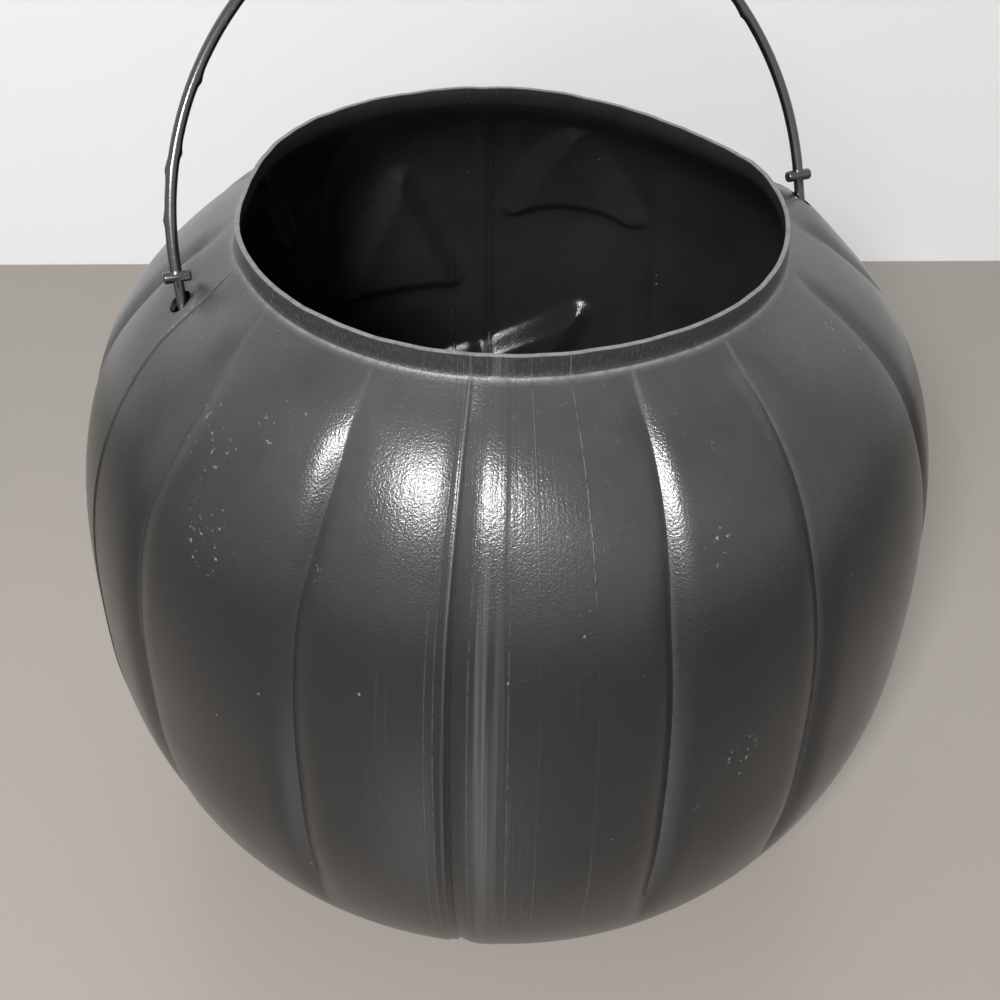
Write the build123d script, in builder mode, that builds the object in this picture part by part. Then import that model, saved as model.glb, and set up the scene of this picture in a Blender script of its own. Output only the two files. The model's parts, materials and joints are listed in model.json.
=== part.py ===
"""Pumpkin candy pail: a thin blow-moulded shell with lobes, a collar and a recessed face,
and a moulded bail whose cross-barred ends swing in two punched holes in the shoulder.

Millimetres, +Z up, the face looks along +Y and the bail swings about the X direction.
The origin is under the middle of the base.
"""
import os
from math import asin, cos, hypot, radians, sin, sqrt

from build123d import *

# Shell
belly_diameter = 216.0
belly_height = 85.0
rim_height = 183.0
opening_diameter = 131.0
collar_height = 6.0
collar_step = 0.6
base_diameter = 137.0
foot_height = 4.0
standing_ring_width = 9.0
push_up_height = 2.0
push_up_slope_width = 8.0
wall = 1.4
belly_power = 2.2
shoulder_power = 2.8

# Lobes: groove directions in degrees from the back, turning towards +X
groove_depth = 2.4
groove_angles = (0, 20, 50, 75, 104, 134, 165, 195, 226, 256, 290, 316, 334)
groove_end_depth = 0.25
foot_steps = 2
belly_steps = 8
shoulder_steps = 12
step_power = 0.8

# Face pressed into the front
recess_depth = 5.0
eye_offset = 53.0
eye_width = 32.0
eye_height = 35.0
eye_base_level = 127.0
eye_lean = 7.0
eye_base_arch = 4.0
nose_width = 36.0
nose_height = 42.0
nose_base_level = 100.0
grin_width = 116.0
grin_tip_level = 88.0
grin_upper_drop = 21.0
grin_lower_drop = 47.0
face_corner_round = 3.0

# Bail
hole_span = 154.0
rod_diameter = 2.5
stem_diameter = 2.4
cross_bar_diameter = 2.7
cross_bar_length = 6.2
cross_bar_chamfer = 0.6
arch_rise = 77.0
arch_steps = 18
swing_limit = 35.0
rest_lean = 25.0

# Fits
swing_clearance = 0.4
cross_bar_clearance = 0.8
cut_overrun = 5.0

belly_radius = belly_diameter / 2
opening_radius = opening_diameter / 2
base_radius = base_diameter / 2
rod_radius = rod_diameter / 2
stem_radius = stem_diameter / 2
cross_bar_radius = cross_bar_diameter / 2
collar_level = rim_height - collar_height
shoulder_rise = collar_level - belly_height
shoulder_end_radius = opening_radius + collar_step


def full_rise(rise, end_radius, power):
    """Rise of the whole curve whose cut end has the given radius."""
    return rise / (1 - (end_radius / belly_radius) ** power) ** (1 / power)


shoulder_span = full_rise(shoulder_rise, shoulder_end_radius, shoulder_power)
belly_span = full_rise(belly_height, base_radius, belly_power)


def wall_radius(level):
    """Radius of the shell's outside over the lobe crests at a level."""
    span, power = (shoulder_span, shoulder_power) if level > belly_height else (belly_span, belly_power)
    rise_share = abs(level - belly_height) / span
    return belly_radius * (1 - rise_share ** power) ** (1 / power)


def wall_normal(level):
    """Radial and upward parts of the outward normal at a level."""
    span, power = (shoulder_span, shoulder_power) if level > belly_height else (belly_span, belly_power)
    rise_share = (level - belly_height) / span
    radial = (wall_radius(level) / belly_radius) ** (power - 1) / belly_radius
    upward = abs(rise_share) ** (power - 1) / span
    length = hypot(radial, upward)
    return radial / length, (upward if rise_share > 0 else -upward) / length


def wall_level(radius):
    """Level at which the shoulder has the given radius."""
    rise_share = (1 - (radius / belly_radius) ** shoulder_power) ** (1 / shoulder_power)
    return belly_height + shoulder_span * rise_share


def around(angle, radius):
    """Point at an angle from the back, turning towards +X."""
    return radius * sin(radians(angle)), -radius * cos(radians(angle))


def curve_stations(rise, span, power, steps):
    """Radius, level and normal at steps from the belly to the end of a curve, closer where it turns."""
    end_turn = asin((abs(rise) / span) ** (power / 2))
    turns = [end_turn * (step / steps) ** step_power for step in range(1, steps + 1)]
    side = 1 if rise > 0 else -1
    curve_levels = [belly_height + side * span * sin(turn) ** (2 / power) for turn in turns]
    return [(wall_radius(level), level) + wall_normal(level) for level in curve_levels]


# Foot: a round that leaves the standing ring flat and runs into the belly
foot_radial, foot_upward = wall_normal(foot_height)
foot_round = foot_height / (1 + foot_upward)
foot_turn = asin(foot_radial)
ring_outer_radius = wall_radius(foot_height) - foot_round * foot_radial
ring_inner_radius = ring_outer_radius - standing_ring_width
panel_radius = ring_inner_radius - push_up_slope_width


def foot_station(turn):
    """Radius, level and normal on the foot's round, a turn away from the floor."""
    radius = ring_outer_radius + foot_round * sin(turn)
    return radius, foot_round * (1 - cos(turn)), sin(turn), -cos(turn)


stations = [foot_station(foot_turn * step / foot_steps) for step in range(foot_steps)]
stations += reversed(curve_stations(foot_height - belly_height, belly_span, belly_power, belly_steps))
stations += [(belly_radius, belly_height, 1, 0)]
stations += curve_stations(shoulder_rise, shoulder_span, shoulder_power, shoulder_steps)

# Grooves keep their share of the radius and run out in the last steps to the base and the collar
depths = [groove_depth * station[0] / belly_radius for station in stations]
depths[0] = groove_end_depth
depths[-1] = groove_end_depth


def lobed_form(inset):
    """Lobed body from the base to the collar, set in from the outside by a distance."""
    with BuildPart() as form:
        for (radius, level, radial, upward), depth in zip(stations, depths):
            crest_radius = radius - inset * radial
            groove_radius = crest_radius - depth
            with BuildSketch(Plane.XY.offset(level - inset * upward)):
                with BuildLine():
                    for start, end in zip(groove_angles, groove_angles[1:] + (groove_angles[0] + 360,)):
                        ThreePointArc(
                            around(start, groove_radius),
                            around((start + end) / 2, crest_radius),
                            around(end, groove_radius),
                        )
                make_face()
        loft(ruled=True)
    return form.part


def push_up_form(level):
    """Shallow rise in the middle of the base, standing on a level."""
    with BuildPart() as form:
        with BuildSketch(Plane.XZ):
            with BuildLine():
                Polyline(
                    (0, level),
                    (ring_inner_radius, level),
                    (panel_radius, level + push_up_height),
                    (0, level + push_up_height),
                    close=True,
                )
            make_face()
        revolve(axis=Axis.Z)
    return form.part


def face_form(grow, inset):
    """Eyes, nose and grin as a block from the front down to a depth below the outside."""
    with BuildPart() as form:
        with BuildSketch(Plane.XZ):
            with BuildLine():
                eye_inner = (eye_offset - eye_width / 2, eye_base_level)
                eye_outer = (eye_offset + eye_width / 2, eye_base_level)
                eye_apex = (eye_offset - eye_lean, eye_base_level + eye_height)
                ThreePointArc(eye_inner, (eye_offset, eye_base_level + eye_base_arch), eye_outer)
                Polyline(eye_outer, eye_apex, eye_inner)
            make_face()
            mirror(about=Plane.YZ)
            with BuildLine():
                Polyline(
                    (-nose_width / 2, nose_base_level),
                    (nose_width / 2, nose_base_level),
                    (0, nose_base_level + nose_height),
                    close=True,
                )
            make_face()
            with BuildLine():
                left_tip = (-grin_width / 2, grin_tip_level)
                right_tip = (grin_width / 2, grin_tip_level)
                ThreePointArc(left_tip, (0, grin_tip_level - grin_lower_drop), right_tip)
                ThreePointArc(right_tip, (0, grin_tip_level - grin_upper_drop), left_tip)
            make_face()
            fillet(vertices(), face_corner_round)
            if grow > 0:
                offset(amount=grow)
        extrude(amount=-(belly_radius + cut_overrun))
        add(lobed_form(inset), mode=Mode.SUBTRACT)
    return form.part


# Bail holes: the middle of the wall under each end of the bail is a point of the swing axis,
# and each hole clears a stem that leans from its own axis by the shoulder's slope and the swing
hole_reach = hole_span / 2
hole_level = wall_level(hole_reach)
hole_radial, hole_upward = wall_normal(hole_level)
pivot_reach = hole_reach - wall / 2 * hole_radial
pivot_level = hole_level - wall / 2 * hole_upward
stem_lean_share = hole_upward * cos(radians(swing_limit))
stem_slope = sqrt(1 / stem_lean_share ** 2 - 1)
hole_radius = wall / 2 * stem_slope + stem_radius / stem_lean_share + swing_clearance

# The cross bars stand off so that their ends just pass the shoulder at the ends of the swing
bar_support = max(
    (cross_bar_length / 2 - cross_bar_chamfer) * hole_radial + cross_bar_radius * hole_upward,
    cross_bar_length / 2 * hole_radial + (cross_bar_radius - cross_bar_chamfer) * hole_upward,
)
bar_offset = (bar_support + wall / 2 + cross_bar_clearance) / stem_lean_share

with BuildPart() as cavity:
    add(lobed_form(wall))
    with BuildSketch(Plane.XY.offset(belly_height)):
        Circle(opening_radius - wall)
    extrude(amount=rim_height - belly_height + cut_overrun)
    add(push_up_form(wall), mode=Mode.SUBTRACT)
    add(face_form(wall, recess_depth + wall), mode=Mode.SUBTRACT)

with BuildPart() as pail_shell:
    add(lobed_form(0))
    with BuildSketch(Plane.XY.offset(collar_level)):
        Circle(opening_radius)
    extrude(amount=collar_height)
    add(push_up_form(0), mode=Mode.SUBTRACT)
    add(face_form(0, recess_depth), mode=Mode.SUBTRACT)
    add(cavity.part, mode=Mode.SUBTRACT)
    for side in (-1, 1):
        hole_plane = Plane((side * pivot_reach, 0, pivot_level), z_dir=(side * hole_radial, 0, hole_upward))
        with BuildSketch(hole_plane):
            Circle(hole_radius)
        extrude(amount=cut_overrun, both=True, mode=Mode.SUBTRACT)
pail_shell.part.label = "pail_shell"

lean = radians(rest_lean)
bail_plane = Plane((0, 0, pivot_level), x_dir=(1, 0, 0), z_dir=(0, -cos(lean), sin(lean)))

with BuildPart(bail_plane) as bail:
    for place in (-bar_offset, bar_offset):
        with Locations((-pivot_reach, place), (pivot_reach, place)):
            Cylinder(cross_bar_radius, cross_bar_length, rotation=(0, 90, 0))
    chamfer(edges().filter_by(GeomType.CIRCLE), cross_bar_chamfer)
    with Locations((-pivot_reach, 0), (pivot_reach, 0)):
        Cylinder(stem_radius, 2 * bar_offset, rotation=(90, 0, 0))
    with BuildLine(bail_plane) as route:
        ThreePointArc((-pivot_reach, bar_offset), (0, bar_offset + arch_rise), (pivot_reach, bar_offset))
    for step in range(arch_steps + 1):
        along_share = step / arch_steps
        with BuildSketch(Plane(route.line @ along_share, z_dir=route.line % along_share)):
            Circle(rod_radius)
    loft(ruled=True)
bail.part.label = "bail"

os.makedirs("parts", exist_ok=True)
export_step(pail_shell.part, "parts/pail_shell.step")
export_step(bail.part, "parts/bail.step")
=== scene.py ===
import json
from math import asin, atan2, cos, hypot, pi, radians, sin, sqrt

import bmesh
import bpy
import numpy as np
from bpy.props import FloatProperty, FloatVectorProperty, IntProperty, PointerProperty
from bpy.types import Operator, Panel, PropertyGroup
from mathutils import Matrix, Vector


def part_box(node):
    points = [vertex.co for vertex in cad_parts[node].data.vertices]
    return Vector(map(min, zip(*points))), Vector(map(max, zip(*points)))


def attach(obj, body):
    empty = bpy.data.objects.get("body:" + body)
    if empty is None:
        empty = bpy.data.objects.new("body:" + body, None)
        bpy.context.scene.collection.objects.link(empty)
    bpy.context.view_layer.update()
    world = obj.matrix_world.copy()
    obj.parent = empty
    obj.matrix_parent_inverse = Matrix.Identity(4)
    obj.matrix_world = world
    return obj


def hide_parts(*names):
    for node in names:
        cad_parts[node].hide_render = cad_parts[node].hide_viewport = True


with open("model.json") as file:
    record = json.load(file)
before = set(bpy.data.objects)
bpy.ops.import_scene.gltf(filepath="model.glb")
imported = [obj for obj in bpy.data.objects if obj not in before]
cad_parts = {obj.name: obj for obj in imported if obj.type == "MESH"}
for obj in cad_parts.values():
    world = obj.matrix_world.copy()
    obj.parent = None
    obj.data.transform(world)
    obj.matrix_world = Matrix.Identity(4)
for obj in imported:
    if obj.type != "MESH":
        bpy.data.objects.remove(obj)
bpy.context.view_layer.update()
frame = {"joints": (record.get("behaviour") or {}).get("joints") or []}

bl_info = {
    "name": "Pumpkin Pail Looks",
    "version": (1, 0, 0),
    "blender": (4, 5, 0),
    "location": "View3D > Sidebar > Pail",
    "description": "Models the finished shell and bail of a pumpkin pail in a studio",
    "category": "Object",
}

SHELL_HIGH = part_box("pail_shell")[1]
BAIL_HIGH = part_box("bail")[1]
SWING_CENTRE = Vector(frame["joints"][0]["pos_m"])
BAR_LENGTH = 0.0062
HOLE_REACH = BAIL_HIGH.x - BAR_LENGTH / 2
MILLIMETRE = 0.001
FULL_TURN = 2 * pi

# Directions round the pail are turns from the back towards +X, in degrees
GROOVE_DEGREES = (0.3, 21.1, 52.5, 76, 104, 134, 165, 195, 226, 256, 289, 315.7, 334.6)
GROOVE_LEAN_DEGREES = (1.9, 1.9, 3.0, 2.5, 0.0, 0.0, 0.0, 0.0, 0.0, 0.0, 4.0, 2.6, 0.6)
GROOVE_DEPTH_SHARES = (1.35, 1.1, 0.95, 0.9, 1.0, 1.0, 1.0, 1.0, 1.0, 1.0, 0.8, 1.1, 0.75)
GROOVE_WIDTH_SHARES = (0.95, 1.0, 0.9, 0.85, 1.0, 1.0, 1.0, 1.0, 1.0, 1.0, 1.2, 1.05, 0.7)
GROOVE_FADE_SHARES = (1.0, 1.0, 1.2, 1.2, 1.5, 1.5, 1.5, 1.5, 1.5, 1.5, 2.5, 3.5, 1.0)
GROOVE_LOW_SHARES = (1.0,) * 12 + (0.3,)
PARTING_DEGREES = (95, 275)
STRIP_DEGREES = (337.2, 340.4)
FLASH_DEGREES = 334
FINE_LINE_DEGREES = PARTING_DEGREES + (FLASH_DEGREES,)
LINE_DEGREES = GROOVE_DEGREES + PARTING_DEGREES + STRIP_DEGREES + (FLASH_DEGREES,)
CROWN_DEGREES = 14
RIM_TILT_DEGREES = 290
# Direction in which the painted glint along the collar's foot is brightest, on the lit front
COLLAR_GLINT_DEGREES = 340
CREASE_WEAR_DEGREES = (8, 32)

# Levels between which the creases lean, and the share over which they run out low down
LEAN_LEVELS = (0.135, 0.177)
GROOVE_LOW_SPAN = 0.8
GROOVE_POWER = 1.3

# Directions and half widths of drawn lines, of the strip's painted sheen and of the flash ridge's
# painted highlight, in degrees
STRIP_SHEEN_LINES = ((-21.8, 1.0),)
BORDER_SHEEN_LINES = ((-20.9, 2.1),)
FLASH_GLINT_LINES = ((-26.0, 0.24),)
DRAWN_LINES = ((-27.1, 0.14), (-28.1, 0.12), (-23.3, 0.14), (-18.8, 0.14))
UPPER_LINES = ((-8.8, 0.13), (-15.4, 0.09))
BEAD_LINES = ((170.0, 0.35), (163.4, 0.35))

# Rows of faces near the collar, as shares of a row's step and of the collar's height
SHOULDER_END_ROWS = (0.5, 0.2, 0.08, 0)
COLLAR_SHARES = (0.03, 0.08, 0.13, 0.18, 0.24, 0.32, 0.44, 0.6, 0.78, 0.9, 0.96, 1.0)

# Samples, steps and sides of what is modelled, and how far finer faces reach in widths
PROFILE_SAMPLES = 2000
COLUMN_SAMPLES = 14400
FOOT_SHARES = (0.34, 0.67)
FINE_REACH = 1.4
FACE_REACH = 1.2
EYE_STEPS = 8
GRIN_LOWER_STEPS = 28
GRIN_UPPER_STEPS = 24
FACE_CUTS = 3
HOLE_SIDES = 40
BAR_SIDES = 28
SHELL_SMOOTH_DEGREES = 38
BAIL_SMOOTH_DEGREES = 40

# Shares of sizes that shape neck, wear and the painted glint at the collar's foot, parting lines,
# punch, the rod's flash and rubbed patches
NECK_LOW, NECK_RISE = 0.8, 0.17
FLARE_FALL, SWEEP_FALL = 3, 5
COLLAR_LINE_PLACE, COLLAR_LINE_REACH = 0.2, 0.45
CREASE_WEAR_REACH = 0.16
RIM_WEAR_REACH = 0.05
DITCH_OFFSET = 1.6
PUNCH_WALLS = 12
ROD_FLASH_REACH = 0.2
SCUFF_CORE = 0.2

# Seed, first wave and number of waves of the trimmed rim
TRIM_WAVES = (7, 9, 40)

# Nubs on the rod: direction in degrees, length in millimetres, and outside or inside
NUBS = ((148, 1.2, -1), (160, 0.9, -1), (163, 1.4, 1), (171, 1.0, 1), (31, 1.0, -1))

# Waves that draw the mouth out of round: their number, height in metres and direction in degrees
MOUTH_WAVES = (
    (0, -0.0005, 0),
    (1, 0.00073, 41),
    (2, 0.00251, -53),
    (3, 0.00113, -154),
    (5, 0.00029, 52),
    (6, 0.00029, -157),
)

# Middle and reach of each rubbed patch, in metres
SCUFF_PATCHES = (
    ((-0.0773, -0.0396, 0.1622), 0.013),
    ((-0.0835, -0.0519, 0.1455), 0.011),
    ((-0.0640, -0.0726, 0.1484), 0.004),
    ((-0.0632, -0.0493, 0.1683), 0.010),
    ((-0.0482, -0.0523, 0.1744), 0.006),
    ((-0.0162, -0.0970, 0.1454), 0.003),
    ((0.0116, -0.0940, 0.1520), 0.007),
    ((0.0161, -0.1066, 0.1005), 0.009),
    ((0.0614, -0.0529, 0.1676), 0.009),
)

# Plastic: grain, specks, drawn lines, and shares of the marks on the shell, painted sheen and
# painted glints among them
GRAIN_SCALE = 1300.0
BROAD_GRAIN = 0.12
SPECK_RAGGEDNESS = 0.0011
SPECK_CELLS = 330.0
SPECK_SIZE = 0.1
SPECK_SHARE = 0.22
SPECK_BRIGHTNESS = 0.55
STREAK_TURN = 0.40
STREAK_DRIFT = 0.1
PIT_DRIFT = 5.0
STRIP_CORE = 0.6
FLASH_CORE = 0.3
LINE_CORE = 0.45
BORDER_SHEEN_SHARE = 0.45
LOW_LINES = 0.4
FAINT_LINES = 0.08
DRAWN_SHARE = 0.3
SHELL_SHARES = {
    "crease": 0.32,
    # Share of the flash ridge's paint: rubbed flash, and a painted highlight
    "flash": 0.22,
    "scraped": 0.1,
    "collar": 0.05,
    "streaks": 0.07,
    # Share of the strip's painted sheen
    "strip": 0.17,
    "lines": 0.3,
    "scuffs": 0.3,
    "flecks": 0.35,
    # Share of settled dust and painted sheen on the upward-facing wall
    "settled_and_sheen": 0.2,
    "inner_haze": 0.06,
}
SHELL_ROUGHNESS = 0.155
SHELL_IOR = 1.5
BAIL_ROUGHNESS = 0.11
BAIL_IOR = 1.8

# Places of nodes in their editor
NODE_COLUMN = 220
NODE_ROW = 180
SHADER_PLACE = (4200, 0)
OUTPUT_PLACE = (4500, 0)

# Studio: paint of floor and wall, lamps about the lit place, and the camera
FLOOR_ROUGHNESS, FLOOR_SPECULAR = 0.36, 0.5
WALL_ROUGHNESS, WALL_SPECULAR = 0.8, 0.2
PAINT_SHADE = 0.97
GLOW_LEVELS = (0.12, 0.35)
GLOW_RISE = 0.5
LIT_PLACE = Vector((-0.035, -0.076, 0.165))
KEY_OFFSET = Vector((-0.4455, -0.637, 0.629)) * 0.8
KEY_SIZE = (0.14, 0.14)
FRONT_OFFSET = Vector((-0.22, -0.83, 0.51))
FRONT_SIZE = (0.45, 0.2)
CAMERA_PLACE = (-0.0978, -0.2740, 0.3362)
CAMERA_VIEW = Vector((0.2355, 0.7304, -0.6412))
CAMERA_ROLL = 0.004
CAMERA_SHIFT = 0.0293
CAMERA_NEAR = 0.01
SENSOR_WIDTH = 36.0


def metres(name, description, default):
    """A length that a user can change."""
    return FloatProperty(
        name=name, description=description, default=default, unit="LENGTH", precision=5
    )


def number(name, description, default):
    """A plain number that a user can change."""
    return FloatProperty(name=name, description=description, default=default)


def colour(name, description, default):
    """A colour that a user can change."""
    return FloatVectorProperty(
        name=name, description=description, default=default, size=3, subtype="COLOR"
    )


class PailShellSizes(PropertyGroup):
    """Sizes of the blow-moulded shell."""

    belly_radius: metres("Belly radius", "Widest radius over the lobes", SHELL_HIGH.y)
    belly_height: metres("Belly height", "Level of the widest place", 0.085)
    rim_height: metres("Rim height", "Level of the trimmed rim", SHELL_HIGH.z)
    opening_radius: metres("Opening radius", "Outside radius of the collar", 0.0655)
    collar_height: metres("Collar height", "Height of the collar", 0.006)
    collar_step: metres("Collar step", "Width of the shelf under the collar", 0.0006)
    base_radius: metres("Base radius", "Radius that the belly runs to at the floor", 0.0685)
    foot_height: metres("Foot height", "Level at which the foot's round meets the belly", 0.004)
    ring_width: metres("Ring width", "Width of the standing ring", 0.009)
    push_up_height: metres("Push-up height", "Rise of the panel in the base", 0.002)
    push_up_slope: metres("Push-up slope", "Width of the slope round the panel", 0.008)
    wall: metres("Wall", "Thickness of the wall", 0.0014)
    groove_depth: metres("Groove depth", "Depth of a crease between two lobes", 0.0017)
    groove_width: metres("Groove width", "Distance over which a lobe rolls into a crease", 0.005)
    lobe_crown: metres("Lobe crown", "Rise of a lobe's middle over its flanks", 0.0007)
    groove_fade: metres("Groove fade", "Distance in which a groove ends under the collar", 0.004)
    groove_low: metres("Groove low end", "Level where a groove has run out above the foot", 0.034)
    parting_height: metres("Parting height", "Height of the mould's parting line", 0.00025)
    parting_width: metres("Parting width", "Half width of the parting line", 0.0003)
    strip_height: metres("Strip height", "Height of the flat strip by the narrow crease", 0.00012)
    flash_height: metres("Flash height", "Height of the thin ridge in the narrow crease", 0.00035)
    flash_width: metres("Flash width", "Half width of the thin ridge in the narrow crease", 0.00038)
    collar_sweep: metres("Collar sweep", "How far the shoulder sweeps up to the collar", 0.0011)
    inner_flare: metres("Inner flare", "How far the inside rounds off under the collar", 0.0009)
    rim_taper: metres("Rim taper", "How much thinner the wall is at the rim", 0.0004)
    hold_reach: metres("Hold reach", "Distance round a bail hole that keeps its place", 0.013)
    rim_tilt: metres("Rim tilt", "How far the trimmed rim rises and falls round the mouth", 0.0037)
    trim_roughness: metres("Trim roughness", "Unevenness of the trimmed rim", 0.00014)
    row_step: metres("Row step", "Height of a row of the wall's faces", 0.0026)
    fine_step: metres("Fine step", "Width of a face at a crease", 0.0006)
    wide_step: metres("Wide step", "Width of a face between the creases", 0.0032)
    belly_power: number("Belly power", "Fullness of the curve below the belly", 2.2)
    shoulder_power: number("Shoulder power", "Fullness of the shoulder", 2.8)
    hole_radius: metres("Hole radius", "Radius of a punched bail hole", 0.003)


class PailFaceSizes(PropertyGroup):
    """Sizes of the face pressed into the front."""

    recess_depth: metres("Recess depth", "Depth of the face", 0.005)
    edge_width: metres("Edge width", "Width of the rolled edge of the face", 0.004)
    eye_offset: metres("Eye offset", "Distance of an eye from the middle", 0.053)
    eye_width: metres("Eye width", "Width of an eye", 0.032)
    eye_height: metres("Eye height", "Height of an eye", 0.035)
    eye_base_level: metres("Eye level", "Level of an eye's lower edge", 0.127)
    eye_lean: metres("Eye lean", "How far an eye's apex leans to the middle", 0.007)
    eye_base_arch: metres("Eye arch", "Rise of an eye's lower edge", 0.004)
    nose_width: metres("Nose width", "Width of the nose", 0.036)
    nose_height: metres("Nose height", "Height of the nose", 0.042)
    nose_base_level: metres("Nose level", "Level of the nose's lower edge", 0.1)
    grin_width: metres("Grin width", "Width of the grin", 0.116)
    grin_tip_level: metres("Grin level", "Level of the grin's corners", 0.088)
    grin_upper_drop: metres("Upper drop", "Drop of the grin's upper edge", 0.021)
    grin_lower_drop: metres("Lower drop", "Drop of the grin's lower edge", 0.047)


class PailBailSizes(PropertyGroup):
    """Sizes of the moulded bail."""

    rod_radius: metres("Rod radius", "Radius of the rod", 0.00125)
    stem_radius: metres("Stem radius", "Radius of a stem in its hole", 0.0012)
    bar_radius: metres("Bar radius", "Radius of a cross bar", 0.00135)
    bar_length: metres("Bar length", "Length of a cross bar", BAR_LENGTH)
    bar_round: metres("Bar round", "Round of a cross bar's ends", 0.0005)
    arch_rise: metres("Arch rise", "Rise of the arch over the cross bars", 0.077)
    flash_height: metres("Flash height", "Height of the thin line of flash along the rod", 0.00007)
    nub_height: metres("Nub height", "Height of the nubs left on the rod", 0.0004)
    lean: FloatProperty(
        name="Lean",
        description="Lean of the bail towards the face",
        default=radians(25),
        subtype="ANGLE",
    )
    rod_sides: IntProperty(name="Rod sides", description="Faces round the rod", default=24)
    rod_steps: IntProperty(name="Rod steps", description="Faces along the rod", default=180)


class PailFinish(PropertyGroup):
    """Colours of the plastic and of what lies on it."""

    plastic: colour("Plastic", "Black of the shell", (0.0078, 0.008, 0.0086))
    bail_plastic: colour("Bail plastic", "Black of the bail", (0.008, 0.008, 0.0088))
    # This grey also paints the glint along the collar's foot and the flash ridge's highlight
    worn_and_glint: colour("Worn plastic", "Grey of rubbed and trimmed edges", (0.23, 0.232, 0.235))
    dust: colour("Dust", "Colour of dust and scuffs", (0.32, 0.32, 0.31))


class PailStage(PropertyGroup):
    """Studio round the pail."""

    floor: colour("Floor", "Colour of the floor", (0.37, 0.338, 0.303))
    wall: colour("Wall", "Colour of the wall behind", (0.8, 0.81, 0.81))
    world: colour("World", "Colour of the light all round", (1.0, 1.0, 1.0))
    world_strength: number("World strength", "Strength of the light all round", 0.15)
    backdrop_strength: number("Backdrop strength", "White of the world to the camera", 1.0)
    wall_glow: number("Wall glow", "How far the wall is white by itself", 0.06)
    key_power: number("Key power", "Power of the lamp over the camera", 10.5)
    front_power: number("Front power", "Power of the low soft lamp in front", 1.5)
    floor_size: metres("Floor size", "Width of the floor and the wall", 8.0)
    wall_distance: metres("Wall distance", "Distance of the wall behind the pail", 0.285)
    lens: number("Lens", "Focal length on a 36 mm sensor, in millimetres", 50.48)


def select_nothing():
    """Leave no object selected."""
    if bpy.context.object and bpy.context.object.mode != "OBJECT":
        bpy.ops.object.mode_set(mode="OBJECT")
    bpy.ops.object.select_all(action="DESELECT")


def select_only(piece):
    """Leave one piece selected and active."""
    select_nothing()
    piece.select_set(True)
    bpy.context.view_layer.objects.active = piece


def select_edges(piece, wanted):
    """Edit a piece with only the wanted edges selected."""
    bpy.ops.object.mode_set(mode="EDIT")
    bpy.ops.mesh.select_mode(type="EDGE")
    bpy.ops.mesh.select_all(action="DESELECT")
    mesh = bmesh.from_edit_mesh(piece.data)
    for edge in mesh.edges:
        edge.select = wanted(edge)
    bmesh.update_edit_mesh(piece.data)


def leave_edit():
    """Turn all normals outward and leave edit mode."""
    bpy.ops.mesh.select_all(action="SELECT")
    bpy.ops.mesh.normals_make_consistent(inside=False)
    bpy.ops.object.mode_set(mode="OBJECT")


def name_active(name):
    """Name the object that an operator has just added."""
    piece = bpy.context.object
    piece.name = name
    piece.data.name = name
    return piece


def points_of(piece):
    """Points of a piece's mesh as rows of x, y and z."""
    points = np.empty(len(piece.data.vertices) * 3)
    piece.data.vertices.foreach_get("co", points)
    return points.reshape(-1, 3)


def move_points(piece, points):
    """Put a piece's points in new places."""
    piece.data.vertices.foreach_set("co", points.ravel())
    piece.data.update()


def apply_modifier(piece, kind, **settings):
    """Add a modifier to a piece and apply it."""
    modifier = piece.modifiers.new(kind.title(), kind)
    for name, value in settings.items():
        setattr(modifier, name, value)
    bpy.context.view_layer.objects.active = piece
    bpy.ops.object.modifier_apply(modifier=modifier.name)


def settle(piece):
    """Keep a piece's place in its mesh, with its object at the origin."""
    select_only(piece)
    bpy.ops.object.transform_apply(location=True, rotation=True, scale=True)


def smooth_share(values):
    """Smooth rise from 0 to 1."""
    values = np.clip(values, 0, 1)
    return values * values * (3 - 2 * values)


def turn_difference(turns, turn):
    """Signed difference of directions, within half a turn either way."""
    return (turns - turn + pi) % FULL_TURN - pi


def polar(points):
    """Directions and radii of points round the pail."""
    return np.arctan2(points[:, 0], -points[:, 1]), np.hypot(points[:, 0], points[:, 1])


def place_polar(points, turns, radii):
    """Put points at directions and radii round the pail."""
    points[:, 0] = radii * np.sin(turns)
    points[:, 1] = -radii * np.cos(turns)


def lean_share(levels):
    """How far the creases lean at a level."""
    return smooth_share((levels - LEAN_LEVELS[0]) / (LEAN_LEVELS[1] - LEAN_LEVELS[0]))


def crease_turns(turns, levels):
    """Difference of directions to each crease, which leans under the collar."""
    lean = lean_share(levels)
    return [
        turn_difference(turns - radians(lean_degrees) * lean, radians(degrees))
        for degrees, lean_degrees in zip(GROOVE_DEGREES, GROOVE_LEAN_DEGREES)
    ]


def nearest_turn(turns, degrees):
    """Least difference of directions to any of the given ones."""
    return np.min([np.abs(turn_difference(turns, radians(each))) for each in degrees], axis=0)


def column_leans(columns):
    """Lean of each column under the collar, between those of the creases and lines."""
    leans = GROOVE_LEAN_DEGREES + (0,) * len(PARTING_DEGREES)
    leans += GROOVE_LEAN_DEGREES[-1:] * (len(LINE_DEGREES) - len(leans))
    order = np.argsort(LINE_DEGREES)
    places, values = np.radians(LINE_DEGREES)[order], np.radians(leans)[order]
    return np.interp(columns, places, values, period=FULL_TURN)


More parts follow.
